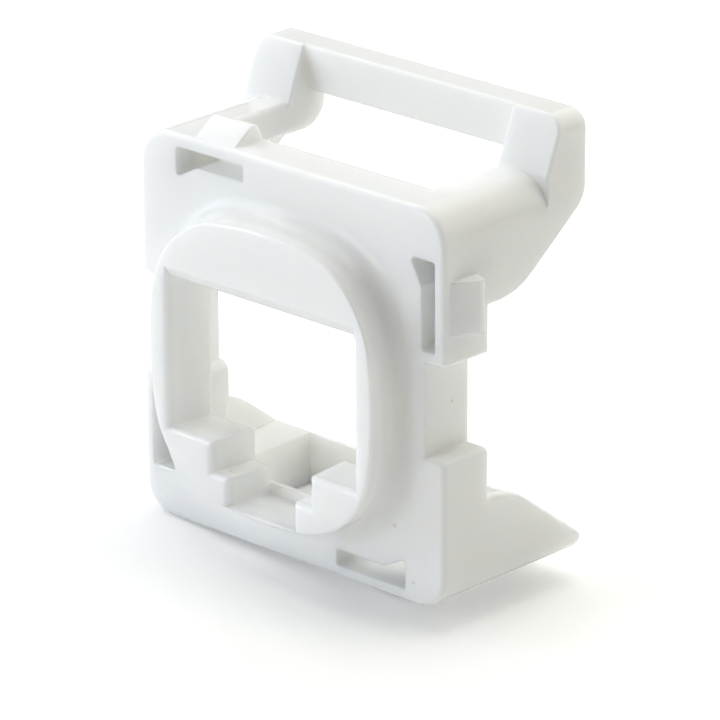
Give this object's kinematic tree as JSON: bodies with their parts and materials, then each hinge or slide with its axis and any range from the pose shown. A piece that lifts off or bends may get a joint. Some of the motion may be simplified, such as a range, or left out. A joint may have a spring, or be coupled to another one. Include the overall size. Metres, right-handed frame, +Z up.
{
  "type": "jack mounting module",
  "caption": "Square snap-in plastic frame that holds a data jack in a wall plate, with a raised boss around the stepped opening, arms with a cross bar and wedge feet.",
  "frame": {"origin": "under the middle of the part's box, level with the lowest lug", "axes": "+X to the right seen from the front, +Y from the front towards the back, +Z up"},
  "size_m": [0.026, 0.0144, 0.0283],
  "materials": {
    "white_plastic": "satin, as moulded"
  },
  "bodies": {
    "root": {"jack_mount_frame": "white_plastic"}
  },
  "joints": []
}
